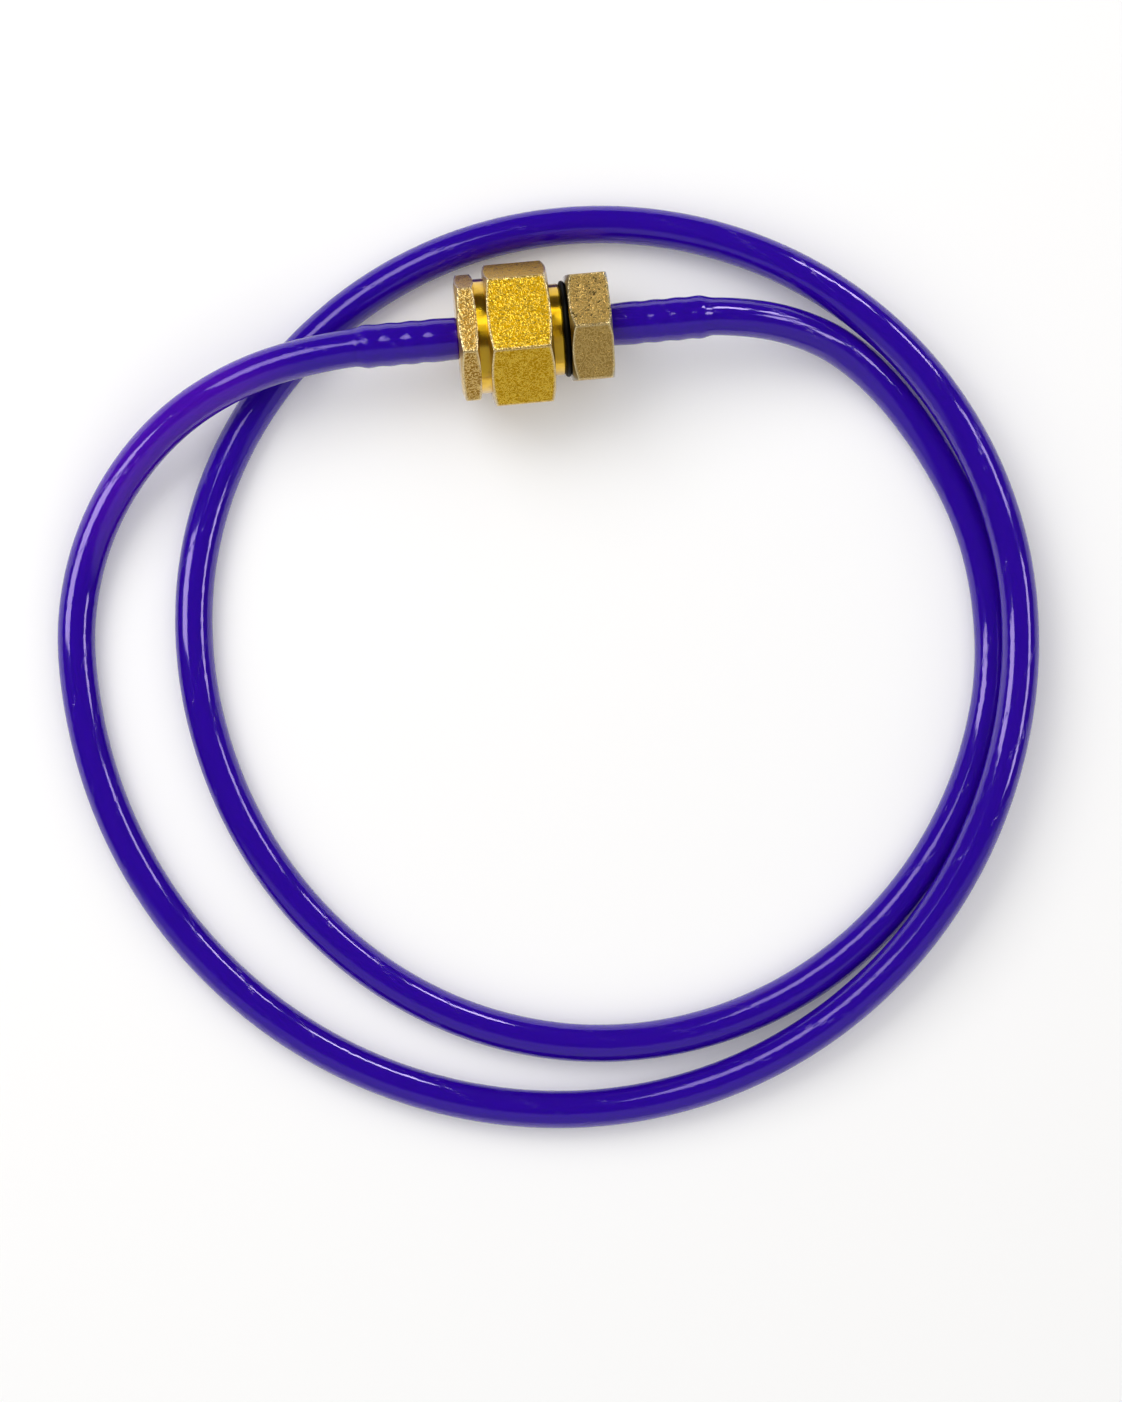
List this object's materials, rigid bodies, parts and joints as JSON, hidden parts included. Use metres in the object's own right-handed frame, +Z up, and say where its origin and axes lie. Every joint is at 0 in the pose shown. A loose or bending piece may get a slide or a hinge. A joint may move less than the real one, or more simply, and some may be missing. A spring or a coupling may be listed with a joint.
{
  "type": "coiled air hose with union",
  "caption": "Short coil of violet air tube whose two ends are pushed on the barbs of one brass union, with a nut that turns and a spring non-return valve inside.",
  "frame": {"origin": "on the floor below the middle of the union's brass and rubber pieces", "axes": "+X along the union from its thin hexagon to its short one, +Z up, coil on the -Y side"},
  "size_m": [0.2076, 0.1954, 0.0301],
  "materials": {
    "tube": "glossy, slightly clear polyurethane",
    "cast_brass": "grainy, tan",
    "bright_brass": "grainy, bright gold",
    "turned_brass": "turned, shiny",
    "black_rubber": "smooth",
    "white_plastic": "slippery, matte",
    "spring_steel": "drawn wire"
  },
  "bodies": {
    "root": {"hose": "tube", "barbed_body": "cast_brass", "swivel_nipple": "turned_brass", "hose_tail": "cast_brass", "tail_o_ring": "black_rubber", "face_seal": "black_rubber", "valve_guide": "turned_brass", "retaining_ring": "spring_steel", "valve_spring": "spring_steel"},
    "slip_ring": {"slip_ring": "white_plastic"},
    "union_nut": {"union_nut": "bright_brass"},
    "valve_poppet": {"valve_poppet": "turned_brass", "poppet_seal": "black_rubber"}
  },
  "joints": [
    {"name": "nut_back_off", "type": "slide", "parent": "root", "child": "slip_ring", "axis": [1, 0, 0], "range_m": [0, 0.00225]},
    {"name": "nut_turn", "type": "hinge", "parent": "slip_ring", "child": "union_nut", "pos_m": [-0.00317, 0, 0.01522], "axis": [1, 0, 0], "range_deg": [0, 540]},
    {"name": "poppet_lift", "type": "slide", "parent": "root", "child": "valve_poppet", "axis": [1, 0, 0], "range_m": [0, 0.002], "stiffness_N_per_m": 150, "springref_m": -0.004, "deforming": ["valve_spring"]}
  ],
  "couplings": [
    {"joint": "nut_back_off", "follows": "nut_turn", "m_per_rad": 0.00023873}
  ]
}
